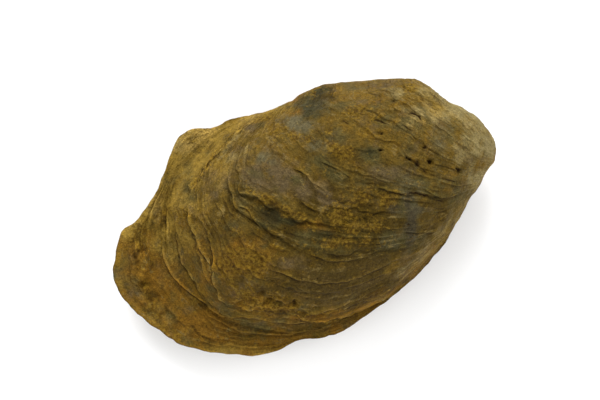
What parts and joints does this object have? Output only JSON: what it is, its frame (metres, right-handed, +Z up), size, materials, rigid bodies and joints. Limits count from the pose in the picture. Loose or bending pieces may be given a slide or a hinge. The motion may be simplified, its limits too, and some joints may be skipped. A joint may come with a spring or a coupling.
{
  "type": "fossil oyster",
  "caption": "Petrified oyster in one solid piece: a long domed valve with stepped growth lines and a thin flared margin, lying on its flatter lid valve.",
  "frame": {"origin": "under the middle of the plan, on the surface that the fossil rests on", "axes": "+X along the shell towards its beak end, +Y towards the far side, +Z up through the domed valve"},
  "size_m": [0.104, 0.0616, 0.0341],
  "materials": {
    "fossil_shell": "matt petrified shell, olive brown with ochre crust, grey-green and mauve-grey patches, stepped growth lines, pits and cracks"
  },
  "bodies": {
    "root": {"fossil_oyster": "fossil_shell"}
  },
  "joints": []
}
